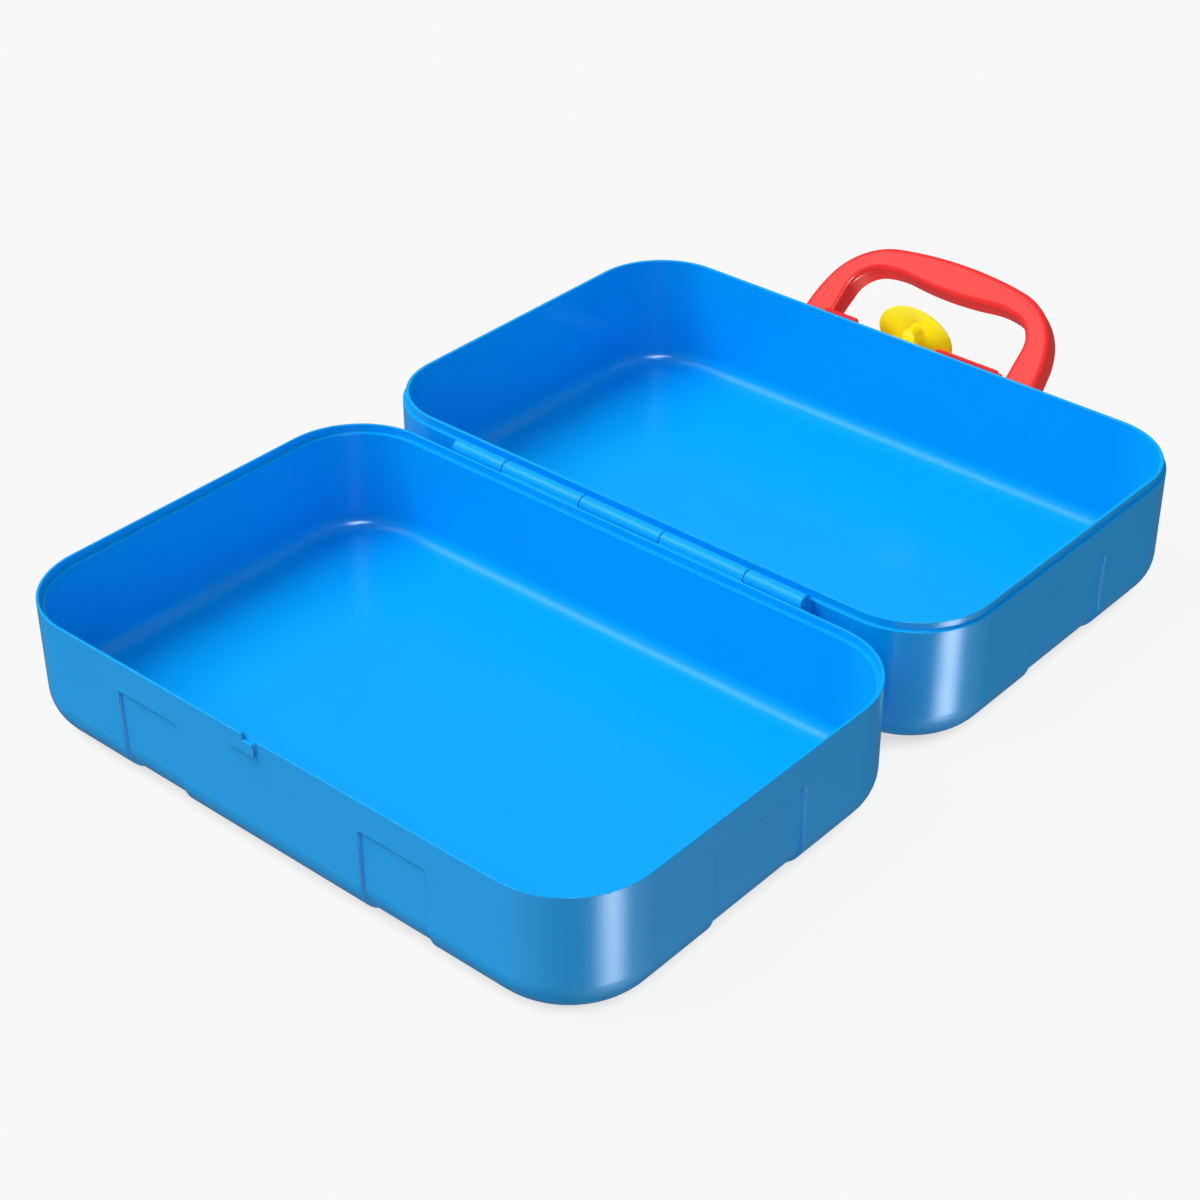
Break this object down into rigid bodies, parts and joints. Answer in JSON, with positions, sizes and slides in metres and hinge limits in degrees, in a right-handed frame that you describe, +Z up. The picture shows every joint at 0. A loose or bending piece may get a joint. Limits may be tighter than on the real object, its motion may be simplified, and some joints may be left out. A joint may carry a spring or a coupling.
{
  "type": "toy tool box",
  "caption": "Toy tool box with a tray-shaped base and lid hinged along their long side, a swinging carry handle and a turn latch, lying open and flat.",
  "frame": {"origin": "middle of the base tray's underside, on the flat rib across it", "axes": "+X along the hinge, +Y from the hinge towards the base tray's handle, +Z up; the lid lies open on the -Y side"},
  "size_m": [0.3, 0.4471, 0.0811],
  "materials": {
    "tray_blue": "moulded, satin gloss with a few fine scuffs",
    "hinge_blue": "moulded, satin gloss",
    "block_red": "moulded, satin gloss",
    "handle_red": "moulded, satin gloss",
    "pin_red": "moulded, satin",
    "latch_yellow": "moulded, gloss"
  },
  "bodies": {
    "base": {"base_tray": "tray_blue", "handle_base": "block_red", "hinge_pin": "hinge_blue", "handle_pin_left": "pin_red", "handle_pin_right": "pin_red"},
    "lid": {"lid_tray": "tray_blue"},
    "handle": {"handle_grip": "handle_red"},
    "latch": {"latch_knob": "latch_yellow", "latch_hook": "latch_yellow"}
  },
  "joints": [
    {"name": "lid_hinge", "type": "hinge", "parent": "base", "child": "lid", "pos_m": [0, -0.10105, 0.05665], "axis": [-1, 0, 0], "range_deg": [0, 180]},
    {"name": "handle_swing", "type": "hinge", "parent": "base", "child": "handle", "pos_m": [0, 0.10375, 0.047], "axis": [1, 0, 0], "range_deg": [-39.25, 50]},
    {"name": "latch_turn", "type": "hinge", "parent": "base", "child": "latch", "pos_m": [-0.001, 0.1, 0.055], "axis": [0, 1, 0], "range_deg": [0, 90]}
  ]
}
